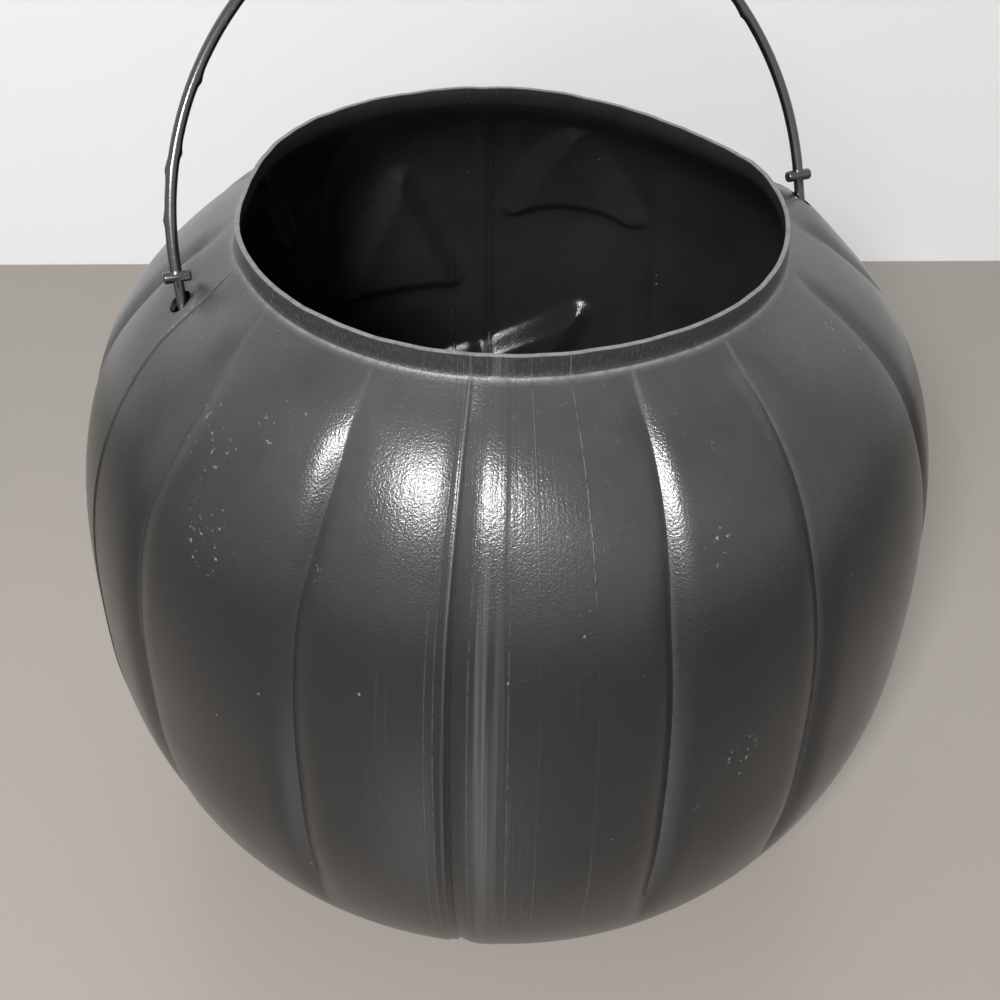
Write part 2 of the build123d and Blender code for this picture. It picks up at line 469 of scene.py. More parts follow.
class ShellForm:
    """The shell's outside as a formula of the level and the direction."""

    def __init__(self, sizes):
        self.sizes = sizes
        self.collar_level = sizes.rim_height - sizes.collar_height
        self.shoulder_end = sizes.opening_radius + sizes.collar_step
        rise = self.collar_level - sizes.belly_height
        self.shoulder_span = self.full_rise(rise, self.shoulder_end, sizes.shoulder_power)
        self.belly_span = self.full_rise(sizes.belly_height, sizes.base_radius, sizes.belly_power)
        foot_radial, foot_upward = self.normal(sizes.foot_height)
        self.foot_round = sizes.foot_height / (1 + foot_upward)
        self.foot_turn = asin(foot_radial)
        self.ring_outer = self.radius(sizes.foot_height) - self.foot_round * foot_radial
        self.ring_inner = self.ring_outer - sizes.ring_width
        self.panel_radius = self.ring_inner - sizes.push_up_slope

    def full_rise(self, rise, end_radius, power):
        """Rise of the whole curve whose cut end has the given radius."""
        return rise / (1 - (end_radius / self.sizes.belly_radius) ** power) ** (1 / power)

    def curve(self, level):
        """Span and power of the curve at a level, with the level's share of the span."""
        upper = np.asarray(level) > self.sizes.belly_height
        span = np.where(upper, self.shoulder_span, self.belly_span)
        power = np.where(upper, self.sizes.shoulder_power, self.sizes.belly_power)
        return span, power, (level - self.sizes.belly_height) / span

    def radius(self, level):
        """Radius of the wall at a level, before the lobes are pressed."""
        _, power, share = self.curve(level)
        return self.sizes.belly_radius * (1 - np.abs(share) ** power) ** (1 / power)

    def normal(self, level):
        """Radial and upward parts of the wall's normal at a level."""
        span, power, share = self.curve(level)
        belly = self.sizes.belly_radius
        radial = (self.radius(level) / belly) ** (power - 1) / belly
        upward = np.sign(share) * np.abs(share) ** (power - 1) / span
        length = np.hypot(radial, upward)
        return radial / length, upward / length

    def rows(self):
        """Radius and level of each row of faces, from the base's panel to the rim."""
        sizes = self.sizes
        ring_middle = (self.ring_inner + self.ring_outer) / 2
        rows = [(radius, 0.0) for radius in (self.ring_inner, ring_middle, self.ring_outer)]
        for share in FOOT_SHARES:
            turn = self.foot_turn * share
            radius = self.ring_outer + self.foot_round * sin(turn)
            rows.append((radius, self.foot_round * (1 - cos(turn))))
        levels = np.linspace(sizes.foot_height, self.collar_level, PROFILE_SAMPLES)
        radii = self.radius(levels)
        length = np.concatenate(([0], np.cumsum(np.hypot(np.diff(levels), np.diff(radii)))))
        steps = np.linspace(0, length[-1], round(length[-1] / sizes.row_step) + 1)
        last_steps = length[-1] - np.array(SHOULDER_END_ROWS) * sizes.row_step
        steps = np.concatenate((steps[:-1], last_steps))
        rows += list(zip(np.interp(steps, length, radii), np.interp(steps, length, levels)))
        for share in COLLAR_SHARES:
            radius = sizes.opening_radius + sizes.collar_step * (1 - min(1, 3 * share)) ** 2
            rows.append((radius, self.collar_level + sizes.collar_height * share))
        return rows

    def columns(self):
        """Directions of the columns of faces, crowded at the creases and lines."""
        sizes = self.sizes
        turns = np.linspace(0, FULL_TURN, COLUMN_SAMPLES, endpoint=False)
        distance = nearest_turn(turns, LINE_DEGREES) * sizes.belly_radius
        widened = smooth_share(distance / (FINE_REACH * sizes.groove_width))
        step = sizes.fine_step + (sizes.wide_step - sizes.fine_step) * widened
        beside = nearest_turn(turns, FINE_LINE_DEGREES) * sizes.belly_radius
        step *= 0.5 + 0.5 * smooth_share(beside / sizes.groove_width)
        count = np.cumsum(1 / step)
        even_number = 2 * round(FULL_TURN / len(turns) * sizes.belly_radius * count[-1] / 2)
        shares = np.arange(even_number) / even_number
        columns = np.interp(shares, (count - count[0]) / count[-1], turns)
        for line in [radians(degrees) for degrees in LINE_DEGREES]:
            columns[np.argmin(np.abs(turn_difference(columns, line)))] = line
        return columns

    def press(self, turns, levels, soften):
        """Depth of lobes, lines and strip under the plain wall, creases softened by a distance."""
        sizes = self.sizes
        radii = self.radius(np.clip(levels, sizes.foot_height, self.collar_level))
        under_collar = self.collar_level - levels
        foot_share = smooth_share((levels - sizes.foot_height / 4) / (3 * sizes.foot_height))
        depth = np.zeros_like(levels)
        low_share = smooth_share((levels / sizes.groove_low - 1) / GROOVE_LOW_SPAN)
        nearest = np.full_like(levels, pi)
        grooves = zip(
            crease_turns(turns, levels),
            GROOVE_DEPTH_SHARES,
            GROOVE_WIDTH_SHARES,
            GROOVE_FADE_SHARES,
            GROOVE_LOW_SHARES,
        )
        for difference, depth_share, width_share, fade_share, low_end in grooves:
            difference = np.abs(difference)
            nearest = np.minimum(nearest, difference)
            away = np.hypot(difference * radii, soften)
            reach = np.clip(1 - away / (sizes.groove_width * width_share), 0, 1)
            fade = smooth_share(under_collar / (sizes.groove_fade * fade_share))
            above_end = levels / (sizes.groove_low * low_end) - 1
            fade = fade * smooth_share(above_end / GROOVE_LOW_SPAN)
            groove = sizes.groove_depth * depth_share * reach ** GROOVE_POWER * fade
            depth += groove * (radii / sizes.belly_radius)
        crown = sizes.lobe_crown * np.clip(1 - nearest / radians(CROWN_DEGREES), 0, 1) ** 2
        depth += crown * smooth_share(under_collar / (4 * sizes.groove_fade)) * low_share
        depth *= foot_share
        if soften > 0:
            return depth
        parting_shown = smooth_share(under_collar / sizes.groove_fade)
        for degrees in PARTING_DEGREES:
            offset = turn_difference(turns, radians(degrees)) * radii
            ridge = np.exp(-(offset / sizes.parting_width) ** 2)
            ditch = np.exp(-(offset / sizes.parting_width - DITCH_OFFSET) ** 2)
            depth -= sizes.parting_height * (ridge - ditch) * parting_shown
        leaned = turns - radians(GROOVE_LEAN_DEGREES[-1]) * lean_share(levels)
        flash = turn_difference(leaned, radians(FLASH_DEGREES)) * radii / sizes.flash_width
        depth -= sizes.flash_height * np.exp(-flash ** 2) * foot_share
        strip_middle = radians(sum(STRIP_DEGREES) / 2)
        strip_half = radians(STRIP_DEGREES[1] - STRIP_DEGREES[0]) / 2
        beside = np.abs(turn_difference(leaned, strip_middle)) - strip_half
        depth -= sizes.strip_height * smooth_share(0.5 - beside * radii / sizes.parting_width)
        return depth

    def neck_share(self, levels):
        """How far a level takes part in the mouth's drawn shape."""
        height = self.sizes.rim_height
        return smooth_share((levels - NECK_LOW * height) / (NECK_RISE * height))


def arc_points(start, middle, end, steps):
    """Points along the arc through three points."""
    (ax, ay), (bx, by), (cx, cy) = start, middle, end
    d = 2 * (ax * (by - cy) + bx * (cy - ay) + cx * (ay - by))
    a2, b2, c2 = ax * ax + ay * ay, bx * bx + by * by, cx * cx + cy * cy
    centre_x = (a2 * (by - cy) + b2 * (cy - ay) + c2 * (ay - by)) / d
    centre_y = (a2 * (cx - bx) + b2 * (ax - cx) + c2 * (bx - ax)) / d
    radius = hypot(ax - centre_x, ay - centre_y)
    first = atan2(ay - centre_y, ax - centre_x)
    sweep = (atan2(cy - centre_y, cx - centre_x) - first + pi) % FULL_TURN - pi
    turns = [first + sweep * step / steps for step in range(steps + 1)]
    return [(centre_x + radius * cos(turn), centre_y + radius * sin(turn)) for turn in turns]


def outline_distance(outline, x, z):
    """Signed distance to a closed outline, negative inside."""
    distance = np.full_like(x, np.inf)
    inside = np.zeros(x.shape, dtype=bool)
    for (ax, az), (bx, bz) in zip(outline, outline[1:] + outline[:1]):
        run_x, run_z = bx - ax, bz - az
        share = np.clip(((x - ax) * run_x + (z - az) * run_z) / (run_x ** 2 + run_z ** 2), 0, 1)
        distance = np.minimum(distance, np.hypot(x - ax - share * run_x, z - az - share * run_z))
        if az != bz:
            crosses = (az > z) != (bz > z)
            inside ^= crosses & (x < ax + (z - az) / (bz - az) * run_x)
    return np.where(inside, -distance, distance)


class FaceForm:
    """The face as outlines seen from the front."""

    def __init__(self, face):
        self.face = face
        half_eye = face.eye_width / 2
        eye_inner = (face.eye_offset - half_eye, face.eye_base_level)
        eye_outer = (face.eye_offset + half_eye, face.eye_base_level)
        eye_arch = (face.eye_offset, face.eye_base_level + face.eye_base_arch)
        eye_apex = (face.eye_offset - face.eye_lean, face.eye_base_level + face.eye_height)
        eye = arc_points(eye_inner, eye_arch, eye_outer, EYE_STEPS) + [eye_apex]
        nose = [(side * face.nose_width / 2, face.nose_base_level) for side in (-1, 1)]
        nose.append((0.0, face.nose_base_level + face.nose_height))
        left, right = [(side * face.grin_width / 2, face.grin_tip_level) for side in (-1, 1)]
        lower_middle = (0.0, face.grin_tip_level - face.grin_lower_drop)
        upper_middle = (0.0, face.grin_tip_level - face.grin_upper_drop)
        lower = arc_points(left, lower_middle, right, GRIN_LOWER_STEPS)
        upper = arc_points(right, upper_middle, left, GRIN_UPPER_STEPS)
        self.outlines = [eye, [(-x, z) for x, z in eye], nose, lower + upper[1:-1]]

    def distance(self, points):
        """Signed distance of points to the nearest outline, as seen from the front."""
        distance = np.full(len(points), 1.0)
        front = points[:, 1] > 0
        x, z = points[front, 0], points[front, 2]
        distances = [outline_distance(outline, x, z) for outline in self.outlines]
        distance[front] = np.min(distances, axis=0)
        return distance

    def depth(self, points, grow):
        """Depth of the recess at points of the plain wall, its outlines grown by a distance."""
        edge = self.face.edge_width + 3 * grow
        return self.face.recess_depth * smooth_share(0.5 + (grow - self.distance(points)) / edge)


def extrude_rows(piece, rows):
    """Draw a ring of edges up through the rows of a profile."""
    select_edges(piece, lambda edge: edge.is_boundary)
    last_radius, last_level = rows[0]
    for radius, level in rows[1:]:
        rise = {"value": (0, 0, level - last_level)}
        bpy.ops.mesh.extrude_edges_move(TRANSFORM_OT_translate=rise)
        widening = (radius / last_radius, radius / last_radius, 1)
        bpy.ops.transform.resize(value=widening, center_override=(0, 0, level))
        last_radius, last_level = radius, level
    leave_edit()


def refine_face(piece, form):
    """Split the wall's faces along the outlines of the face."""
    bpy.ops.object.mode_set(mode="EDIT")
    bpy.ops.mesh.select_mode(type="FACE")
    bpy.ops.mesh.select_all(action="DESELECT")
    mesh = bmesh.from_edit_mesh(piece.data)
    mesh.faces.ensure_lookup_table()
    centres = np.array([face.calc_center_median() for face in mesh.faces])
    near = np.abs(form.distance(centres)) < FACE_REACH * form.face.edge_width
    for face, wanted in zip(mesh.faces, near):
        face.select_set(bool(wanted))
    bmesh.update_edit_mesh(piece.data)
    bpy.ops.mesh.subdivide(number_cuts=FACE_CUTS)
    bpy.ops.object.mode_set(mode="OBJECT")


def wavy(turns, seed, lowest, count):
    """A seeded sum of waves round the pail, within about 1 either way."""
    draw = np.random.default_rng(seed)
    total = np.zeros_like(turns)
    for wave in range(count):
        total += np.sin((lowest + wave) * turns + draw.uniform(0, FULL_TURN)) * draw.uniform(0.3, 1)
    return total / sqrt(count)


def shape_shell(piece, shell, face):
    """Press lobes and face into the plain double wall, draw the mouth, and mark what is rubbed and
    dusty and where a glint and a sheen are painted.
    """
    sizes = shell.sizes
    points = points_of(piece)
    count = len(points) // 2
    plain = points[:count]
    turns, plain_radii = polar(plain)
    levels = plain[:, 2].copy()
    above_foot = levels > sizes.foot_height * 0.9
    on_wall = above_foot & (levels < shell.collar_level + sizes.collar_step / 9)
    wall_levels = np.clip(levels, sizes.foot_height, shell.collar_level)
    wall_radii = shell.radius(wall_levels)
    scale = np.where(on_wall, wall_radii / np.maximum(plain_radii, sizes.wall), 1)
    plain[:, :2] *= scale[:, None]
    radial, upward = shell.normal(wall_levels)
    outward = np.stack((radial * np.sin(turns), -radial * np.cos(turns), upward), axis=1)
    insets = (0.0, sizes.wall)
    depths = [shell.press(turns, levels, inset) + face.depth(plain, inset) for inset in insets]
    for side, depth in enumerate(depths):
        points[side * count:(side + 1) * count] -= outward * np.where(on_wall, depth, 0)[:, None]
    turns_all, radii = polar(points)
    up_collar = (levels - shell.collar_level) / sizes.collar_height
    below, above = np.minimum(up_collar, 0), np.clip(1 - up_collar, 0, 1)
    flare = np.where(up_collar < 0, np.exp(below * FLARE_FALL), above ** 2)
    radii[count:] += sizes.inner_flare * flare + sizes.rim_taper * smooth_share(2 * up_collar - 1)
    sweep = np.where(up_collar < 0, np.exp(below * SWEEP_FALL), above)
    points[:, 2] += np.tile(sizes.collar_sweep * sweep, 2)
    beside_hole = np.hypot(np.abs(points[:, 0]) - HOLE_REACH, points[:, 1])
    beside_hole = np.hypot(beside_hole, points[:, 2] - SWING_CENTRE.z)
    neck = shell.neck_share(points[:, 2]) * (1 - np.exp(-(beside_hole / sizes.hold_reach) ** 2))
    trim = smooth_share((points[:, 2] - shell.collar_level) / sizes.collar_height)
    for waves, height, degrees in MOUTH_WAVES:
        radii += neck * height * np.cos(waves * turns_all - radians(degrees))
    points[:, 2] += neck * sizes.rim_tilt * np.cos(turns_all - radians(RIM_TILT_DEGREES))
    points[:, 2] += trim * sizes.trim_roughness * wavy(turns_all, *TRIM_WAVES)
    place_polar(points, turns_all, radii)
    move_points(piece, points)
    under_collar = shell.collar_level - levels
    under_rim = (levels - sizes.rim_height) / (RIM_WEAR_REACH * sizes.collar_height)
    rim = np.tile(smooth_share(1 + under_rim), 2)
    # A lighter line along the collar's foot: rubbed wear, and a painted glint that is brightest on
    # the lit front
    over_foot = under_collar + COLLAR_LINE_PLACE * sizes.collar_step
    foot_of_collar = np.exp(-(over_foot / (COLLAR_LINE_REACH * sizes.collar_step)) ** 2)
    foot_of_collar *= 0.55 + 0.45 * np.cos(turns - radians(COLLAR_GLINT_DEGREES))
    creases = np.min(np.abs(crease_turns(turns, levels)[:-1]), axis=0)
    beside_crease = creases * sizes.belly_radius / (CREASE_WEAR_REACH * sizes.groove_width)
    crease = np.exp(-beside_crease ** 2) * (under_collar > 0)
    crease *= 0.3 + 0.7 * np.exp(-np.clip(under_collar, 0, 1) / (4 * sizes.groove_fade))
    crease *= smooth_share((levels / sizes.groove_low - 1) / GROOVE_LOW_SPAN)
    wear_middle, wear_reach = np.radians(CREASE_WEAR_DEGREES)
    crease *= 0.2 + 0.8 * np.exp(-(turn_difference(turns, wear_middle) / wear_reach) ** 2)
    # Upward-facing wall painted lighter: settled dust, and a painted sheen of the light from above
    top_dust_and_sheen = np.where(on_wall & (under_collar > 0), smooth_share((upward - 0.2) / 0.7), 0)
    collar = smooth_share(-under_collar / sizes.collar_step) * (1 - rim[:count])
    inside = np.zeros(count)
    marks = {
        "collar_wear_and_glint": foot_of_collar,
        "crease_wear": crease,
        "collar": collar,
        "top_dust_and_sheen": top_dust_and_sheen,
    }
    for name, values in marks.items():
        store_attribute(piece, name, np.concatenate((values, inside)))
    store_attribute(piece, "rim_wear", rim)
    store_attribute(piece, "inner", np.concatenate((inside, inside + 1)))


def store_attribute(piece, name, values):
    """Store a value at each point of a piece."""
    attribute = piece.data.attributes.new(name, "FLOAT", "POINT")
    attribute.data.foreach_set("value", values.astype(np.float32))


def crowd_columns(piece, columns, leans):
    """Turn a ring's even columns to their crowded directions, leaning under the collar."""
    points = points_of(piece)
    turns, radii = polar(points)
    shares = turns % FULL_TURN / FULL_TURN
    places = np.round(shares * len(columns)).astype(int) % len(columns)
    directions = columns[places] + leans[places] * lean_share(points[:, 2])
    place_polar(points, directions, radii)
    move_points(piece, points)


def punch_holes(piece, shell):
    """Punch the two bail holes through the shoulder."""
    radial, upward = shell.normal(np.float64(SWING_CENTRE.z))
    for side in (-1, 1):
        select_nothing()
        axis = Vector((side * float(radial), 0, float(upward)))
        turn = axis.to_track_quat("Z", "Y").to_euler()
        place = (side * HOLE_REACH, 0, SWING_CENTRE.z)
        bpy.ops.mesh.primitive_cylinder_add(
            vertices=HOLE_SIDES,
            radius=shell.sizes.hole_radius,
            depth=PUNCH_WALLS * shell.sizes.wall,
            location=place,
            rotation=turn,
        )
        punch = name_active("punch")
        settle(punch)
        apply_modifier(piece, "BOOLEAN", object=punch, operation="DIFFERENCE", solver="EXACT")
        bpy.data.objects.remove(punch)


def is_socket(value):
    """Whether a value is a node's socket and not a number or a colour."""
    return hasattr(value, "is_linked")


class NodeBuilder:
    """Adds nodes to a tree, each to the right of those that feed it."""

    def __init__(self, tree):
        self.tree = tree

    def feed(self, socket, value):
        """Link a socket to another one, or set its own value."""
        if is_socket(value):
            self.tree.links.new(value, socket)
        else:
            socket.default_value = value

    def add(self, kind, settings=(), values=()):
        """Add a node with its settings, and sockets or values for its inputs."""
        node = self.tree.nodes.new(kind)
        for name, value in dict(settings).items():
            setattr(node, name, value)
        for name, value in dict(values).items():
            self.feed(node.inputs[name], value)
        feeding = [link.from_node.location.x for link in self.tree.links if link.to_node == node]
        column = max(feeding, default=0) + NODE_COLUMN
        row = sum(other.location.x == column for other in self.tree.nodes)
        node.location = (column, -NODE_ROW * row)
        return node

    def math(self, operation, *values):
        """Add a Math node whose inputs are sockets or numbers."""
        node = self.add("ShaderNodeMath", {"operation": operation}, enumerate(values))
        return node.outputs["Value"]

    def product(self, total, *others):
        """Multiply sockets and numbers."""
        for value in others:
            total = self.math("MULTIPLY", total, value)
        return total

    def largest(self, total, *others):
        """Largest of several sockets."""
        for value in others:
            total = self.math("MAXIMUM", total, value)
        return total

    def ramp(self, value, low, high):
        """Smooth ramp of a value between two limits."""
        values = {"Value": value, "From Min": low, "From Max": high}
        node = self.add("ShaderNodeMapRange", {"interpolation_type": "SMOOTHSTEP"}, values)
        return node.outputs["Result"]

    def split(self, vector):
        """The three parts of a vector."""
        return self.add("ShaderNodeSeparateXYZ", values={"Vector": vector}).outputs

    def combine(self, x, y):
        """A vector of two parts."""
        return self.add("ShaderNodeCombineXYZ", values={"X": x, "Y": y}).outputs["Vector"]

    def noise(self, vector, scale, detail, roughness=0.5):
        """Noise as a colour and a value."""
        values = {"Vector": vector, "Scale": scale, "Detail": detail, "Roughness": roughness}
        return self.add("ShaderNodeTexNoise", values=values).outputs

    def mix(self, mask, first, second):
        """Mix two colours, given as sockets or values, by a mask."""
        pair = [value if is_socket(value) else (*value, 1.0) for value in (first, second)]
        values = {"Factor": mask, "A": pair[0], "B": pair[1]}
        return self.add("ShaderNodeMix", {"data_type": "RGBA"}, values).outputs["Result"]

    def bump(self, height, strength, distance, **normal):
        """Normal bumped by a height, on top of another normal where one is given."""
        values = {"Height": height, "Strength": strength, "Distance": distance, **normal}
        return self.add("ShaderNodeBump", values=values).outputs["Normal"]

    def group(self, tree, vector, **values):
        """Place a node group with its own values."""
        values["Vector"] = vector
        return self.add("ShaderNodeGroup", {"node_tree": tree}, values).outputs

    def seen_directly(self):
        """Mask of what the camera sees, straight, in gloss or through glass."""
        path = self.add("ShaderNodeLightPath").outputs
        rays = ("Is Camera Ray", "Is Glossy Ray", "Is Transmission Ray")
        return self.largest(*(path[ray] for ray in rays))


def new_group(name, numbers, outputs):
    """Start a shader node group that takes a vector and numbers, and gives values."""
    tree = bpy.data.node_groups.new(name, "ShaderNodeTree")
    tree.interface.new_socket("Vector", in_out="INPUT", socket_type="NodeSocketVector")
    for socket, default in numbers.items():
        made = tree.interface.new_socket(socket, in_out="INPUT", socket_type="NodeSocketFloat")
        made.default_value = default
    for socket in outputs:
        tree.interface.new_socket(socket, in_out="OUTPUT", socket_type="NodeSocketFloat")
    nodes = NodeBuilder(tree)
    return nodes, nodes.add("NodeGroupInput").outputs


def end_group(nodes, values):
    """Give a node group its outputs."""
    nodes.add("NodeGroupOutput", values=values)
    return nodes.tree


def grain_group():
    """Orange-peel grain of moulded plastic as a height."""
    nodes, start = new_group("Moulded grain", {"Scale": GRAIN_SCALE}, ("Height",))
    fine = nodes.noise(start["Vector"], start["Scale"], 2.0, 0.55)["Fac"]
    broad = nodes.noise(start["Vector"], 160.0, 3.0)["Fac"]
    height = nodes.math("ADD", fine, nodes.product(broad, BROAD_GRAIN))
    return end_group(nodes, {"Height": height})


def dust_group():
    """Dust specks, small scuffs and a thin film as masks."""
    outputs = ("Specks", "Scuffs", "Flecks", "Film")
    nodes, start = new_group("Dust and scuffs", {"Amount": 0.5}, outputs)
    vector = start["Vector"]
    ragged = nodes.noise(vector, 2600.0, 2.0)["Color"]
    shift = {0: ragged, 1: (SPECK_RAGGEDNESS,) * 3, 2: vector}
    shifted = nodes.add("ShaderNodeVectorMath", {"operation": "MULTIPLY_ADD"}, shift)
    spread = {"Vector": shifted.outputs["Vector"], "Scale": SPECK_CELLS}
    cells = nodes.add("ShaderNodeTexVoronoi", values=spread).outputs
    pick = nodes.add("ShaderNodeSeparateColor", values={"Color": cells["Color"]}).outputs
    near = nodes.math("LESS_THAN", cells["Distance"], nodes.product(pick["Green"], SPECK_SIZE))
    kept = nodes.math("LESS_THAN", pick["Red"], nodes.product(start["Amount"], SPECK_SHARE))
    bright = nodes.product(pick["Blue"], SPECK_BRIGHTNESS)
    specks = nodes.product(near, kept, bright)
    film = nodes.noise(vector, 30.0, 3.0, 0.6)["Fac"]
    flecks = nodes.ramp(nodes.noise(vector, 620.0, 4.0, 0.7)["Fac"], 0.6, 0.72)
    scuffs = nodes.product(nodes.ramp(film, 0.56, 0.74), flecks)
    return end_group(nodes, dict(zip(outputs, (specks, scuffs, flecks, film))))


def line_masks(nodes, turn, lines, core):
    """Mask of upright lines, given by their directions and half widths in degrees."""
    masks = []
    for degrees, half_width in lines:
        away = nodes.math("ABSOLUTE", nodes.math("SUBTRACT", turn, radians(degrees)))
        masks.append(nodes.ramp(away, radians(half_width), radians(half_width) * core))
    return nodes.largest(*masks)


def die_line_group():
    """Lines drawn up the wall by the die, as values that change with the direction, and the strip's
    painted sheen and the flash ridge's painted highlight as masks.
    """
    outputs = ("Height", "Streaks", "Pits", "Strip", "Flash", "Lines", "Beads")
    nodes, start = new_group("Die lines", {}, outputs)
    split = nodes.split(start["Vector"])
    level = split["Z"]
    turn = nodes.math("ARCTAN2", split["X"], nodes.product(split["Y"], -1.0))
    along = nodes.combine(turn, nodes.product(level, STREAK_DRIFT))
    upright = nodes.combine(turn, nodes.product(level, PIT_DRIFT))
    fine = nodes.noise(along, 95.0, 3.0, 0.7)["Fac"]
    zone = nodes.noise(along, 5.5, 1.0)["Fac"]
    pits = nodes.noise(upright, 110.0, 4.0, 0.7)["Fac"]
    beside = nodes.math("ABSOLUTE", nodes.math("ADD", turn, STREAK_TURN))
    mask = nodes.largest(nodes.ramp(beside, 0.34, 0.06), nodes.ramp(zone, 0.55, 0.8))
    streaks = nodes.product(nodes.ramp(fine, 0.58, 0.78), mask)
    lean = nodes.ramp(level, *LEAN_LEVELS)
    leaned = nodes.math("MULTIPLY_ADD", lean, -radians(GROOVE_LEAN_DEGREES[-1]), turn)
    # The strip and its soft border painted lighter, more so higher up: a painted sheen on the
    # rougher strip
    border_sheen = nodes.product(line_masks(nodes, leaned, BORDER_SHEEN_LINES, STRIP_CORE), BORDER_SHEEN_SHARE)
    strip = nodes.largest(line_masks(nodes, leaned, STRIP_SHEEN_LINES, STRIP_CORE), border_sheen)
    lifted = nodes.math("MULTIPLY_ADD", nodes.ramp(level, 0.04, 0.13), 0.5, 0.5)
    strip = nodes.product(strip, lifted, nodes.ramp(fine, 0.3, 0.68))
    # Flash ridge painted lighter towards the top: rubbed flash, and a painted highlight
    flash = line_masks(nodes, leaned, FLASH_GLINT_LINES, FLASH_CORE)
    flash = nodes.product(flash, nodes.ramp(level, 0.09, 0.165))
    low_part = nodes.product(nodes.ramp(level, 0.1, 0.06), LOW_LINES)
    shown = nodes.largest(nodes.ramp(level, 0.14, 0.158), low_part, FAINT_LINES)
    upper_lines = nodes.product(line_masks(nodes, turn, UPPER_LINES, LINE_CORE), shown)
    drawn_lines = nodes.product(line_masks(nodes, leaned, DRAWN_LINES, LINE_CORE), DRAWN_SHARE)
    lines = nodes.largest(upper_lines, drawn_lines)
    beads = line_masks(nodes, turn, BEAD_LINES, LINE_CORE)
    height = nodes.product(nodes.math("SUBTRACT", fine, 0.5), mask)
    return end_group(nodes, dict(zip(outputs, (height, streaks, pits, strip, flash, lines, beads))))


def start_material(name):
    """Start a material with a Principled shader and object coordinates."""
    material = bpy.data.materials.new(name)
    material.use_nodes = True
    nodes = NodeBuilder(material.node_tree)
    shader = material.node_tree.nodes["Principled BSDF"]
    shader.location = SHADER_PLACE
    material.node_tree.nodes["Material Output"].location = OUTPUT_PLACE
    vector = nodes.add("ShaderNodeTexCoord").outputs["Object"]
    return material, nodes, shader.inputs, vector


def scuff_patches(nodes, vector):
    """Mask of the rubbed patches of the shell."""
    masks = []
    for middle, reach in SCUFF_PATCHES:
        ends = {0: vector, 1: middle}
        away = nodes.add("ShaderNodeVectorMath", {"operation": "DISTANCE"}, ends).outputs["Value"]
        masks.append(nodes.ramp(away, reach, SCUFF_CORE * reach))
    return nodes.largest(*masks)


def shell_material(finish, groups):
    """Black blow-moulded polyethylene with grain, die lines, rubbed edges, dust, and painted glints
    and sheen.
    """
    material, nodes, shader, vector = start_material("Shell plastic")
    grain = nodes.group(groups["grain"], vector, Scale=2000.0)
    dust = nodes.group(groups["dust"], vector, Amount=0.9)
    die = nodes.group(groups["die"], vector)
    wear = {
        name: nodes.add("ShaderNodeAttribute", {"attribute_name": name}).outputs["Fac"]
        for name in ("rim_wear", "collar_wear_and_glint", "crease_wear", "collar", "inner", "top_dust_and_sheen")
    }
    share = SHELL_SHARES
    outside = nodes.math("SUBTRACT", 1.0, wear["inner"])
    rubbed = nodes.ramp(nodes.noise(vector, 420.0, 4.0, 0.7)["Fac"], 0.3, 0.6)
    ragged = nodes.math("MULTIPLY_ADD", rubbed, 0.45, 0.45)
    scraped = nodes.product(nodes.ramp(die["Pits"], 0.45, 0.7), wear["collar"], share["scraped"])
    # Lighter grey of rubbed edges, which also paints the glint along the collar's foot and the
    # flash ridge's highlight
    worn_and_glint = nodes.largest(
        # rubbed line and painted glint along the collar's foot
        nodes.product(wear["collar_wear_and_glint"], ragged),
        nodes.product(wear["crease_wear"], ragged, share["crease"]),
        # flash ridge: rubbed flash, and a painted highlight
        nodes.product(die["Flash"], share["flash"]),
        nodes.product(wear["rim_wear"], ragged),
        nodes.math("ADD", scraped, nodes.product(wear["collar"], share["collar"])),
    )
    drawn = nodes.largest(
        nodes.product(die["Streaks"], share["streaks"]),
        # strip: a painted sheen on the rougher strip
        nodes.product(die["Strip"], share["strip"]),
        nodes.product(die["Lines"], rubbed, share["lines"]),
    )
    layer = nodes.math("MULTIPLY_ADD", dust["Flecks"], share["flecks"], dust["Film"])
    marks = nodes.largest(
        dust["Specks"],
        nodes.product(dust["Scuffs"], share["scuffs"], outside),
        nodes.product(scuff_patches(nodes, vector), dust["Flecks"]),
        nodes.product(drawn, outside),
        # settled dust, and a painted sheen, on the upward-facing wall
        nodes.product(wear["top_dust_and_sheen"], layer, share["settled_and_sheen"]),
        nodes.product(wear["inner"], dust["Film"], share["inner_haze"]),
    )
    base = nodes.mix(worn_and_glint, finish.plastic, finish.worn_and_glint)
    nodes.feed(shader["Base Color"], nodes.mix(marks, base, finish.dust))
    rough = nodes.math("MULTIPLY_ADD", dust["Film"], 0.12, SHELL_ROUGHNESS)
    for mask in (worn_and_glint, marks):
        rough = nodes.math("MULTIPLY_ADD", mask, 0.3, rough)
    nodes.feed(shader["Roughness"], rough)
    beads = nodes.product(die["Beads"], wear["inner"], rubbed)
    raised = nodes.largest(nodes.product(die["Lines"], outside), beads)
    normal = nodes.bump(grain["Height"], 0.25, 0.0004)
    normal = nodes.bump(die["Height"], 0.18, 0.0005, Normal=normal)
    normal = nodes.bump(nodes.product(die["Pits"], wear["collar"]), 0.3, 0.0006, Normal=normal)
    nodes.feed(shader["Normal"], nodes.bump(raised, 0.6, 0.0003, Normal=normal))
    shader["IOR"].default_value = SHELL_IOR
    return material


